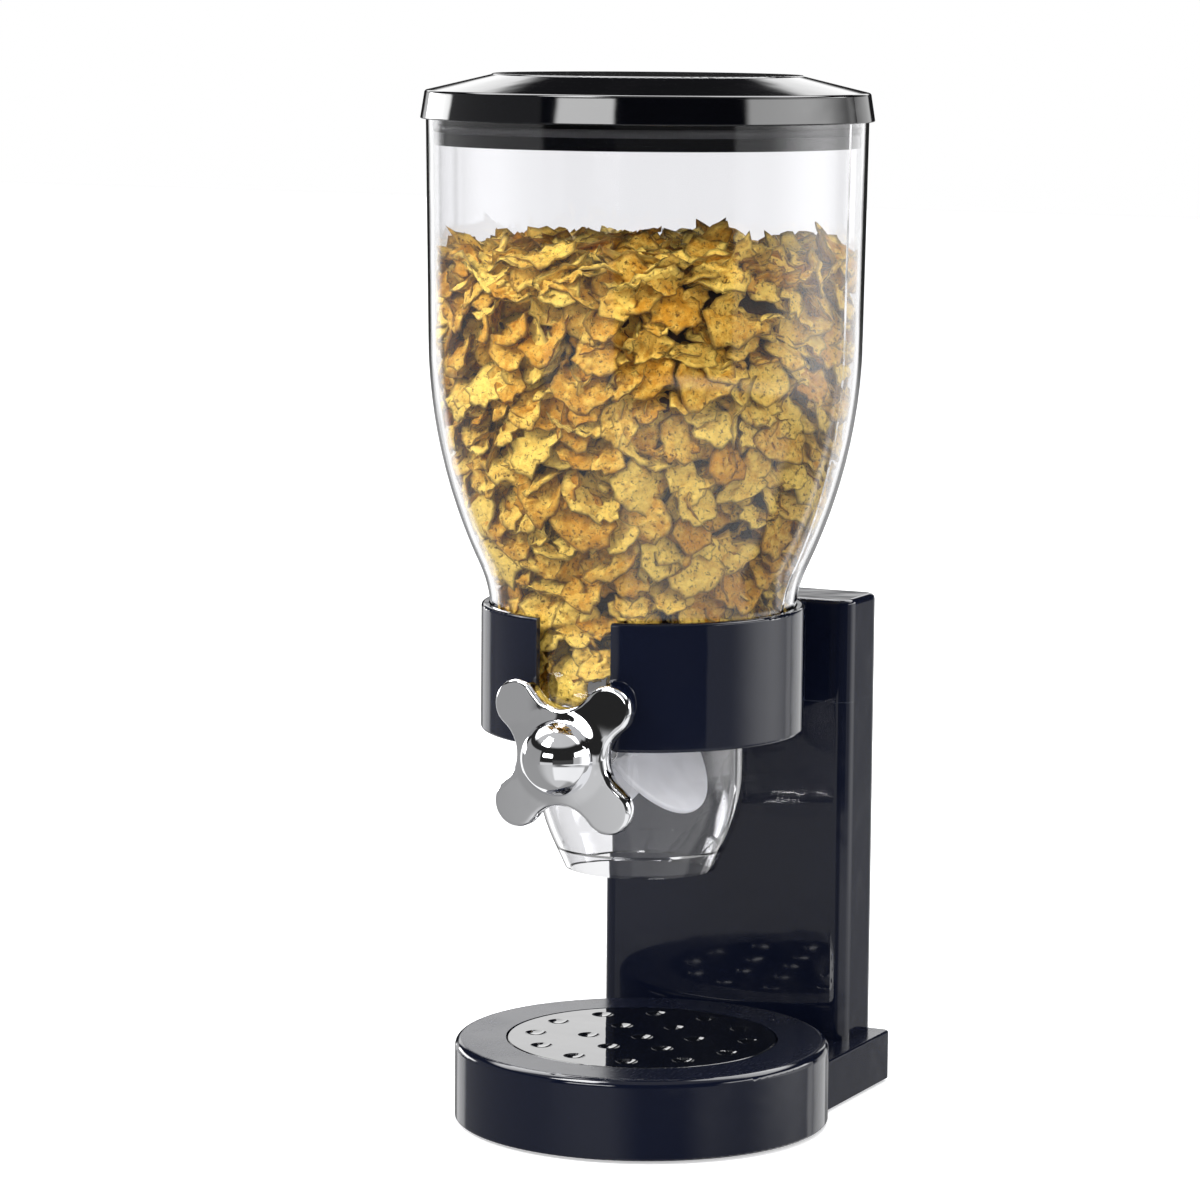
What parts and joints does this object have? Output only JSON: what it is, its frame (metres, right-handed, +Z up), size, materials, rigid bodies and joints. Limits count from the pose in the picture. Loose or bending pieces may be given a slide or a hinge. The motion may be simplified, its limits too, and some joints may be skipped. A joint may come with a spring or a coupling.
{
  "type": "cereal dispenser",
  "caption": "Countertop dry food dispenser: a clear lidded canister in an open collar on a column, with a knob-turned rotor over the chute and a round base with a crumb tray.",
  "frame": {"origin": "on the table, under the middle of the whole object's box", "axes": "+Z up along the canister's axis, -Y towards the user and the knob, +X to the user's right"},
  "size_m": [0.1678, 0.1886, 0.3949],
  "materials": {
    "gloss_black": "high gloss, near-black with a blue cast",
    "gloss_black_tray": "high gloss, near-black",
    "matte_black": "fine satin",
    "clear_plastic": "clear, polished",
    "white_plastic": "satin",
    "grey_plastic": "satin",
    "grey_silicone": "soft satin",
    "seal_rubber": "soft satin",
    "foot_rubber": "matte",
    "steel": "turned",
    "chrome_plate": "mirror"
  },
  "bodies": {
    "stand": {"base_shell": "gloss_black", "base_cover": "matte_black", "foot_front_left": "foot_rubber", "foot_front_right": "foot_rubber", "foot_rear_left": "foot_rubber", "foot_rear_right": "foot_rubber", "base_cover_screws": "steel", "column_shell": "gloss_black", "column_screws": "steel", "rear_cover": "gloss_black", "rear_cover_screws": "steel", "collar_bracket": "gloss_black", "bracket_screws": "steel"},
    "tray": {"crumb_tray": "gloss_black_tray"},
    "canister": {"canister": "clear_plastic", "front_bushing": "white_plastic", "rear_bushing": "white_plastic"},
    "rotor": {"shaft": "steel", "shaft_clip": "steel", "rotor_hub": "grey_plastic", "rotor_wheel": "grey_silicone", "knob_sleeve": "grey_plastic", "knob": "chrome_plate", "knob_cap": "chrome_plate", "knob_screw": "steel"},
    "lid": {"lid_top": "gloss_black", "lid_plug": "matte_black", "lid_seal": "seal_rubber"}
  },
  "joints": [
    {"name": "canister_lift", "type": "slide", "parent": "stand", "child": "canister", "axis": [0, 0, 1], "range_m": [0, 0.12]},
    {"name": "rotor_turn", "type": "hinge", "parent": "canister", "child": "rotor", "pos_m": [0, -0.0102, 0.1495], "axis": [0, -1, 0], "continuous": true},
    {"name": "lid_lift", "type": "slide", "parent": "canister", "child": "lid", "axis": [0, 0, 1], "range_m": [0, 0.04]},
    {"name": "tray_lift", "type": "slide", "parent": "stand", "child": "tray", "axis": [0, 0, 1], "range_m": [0, 0.03]}
  ]
}
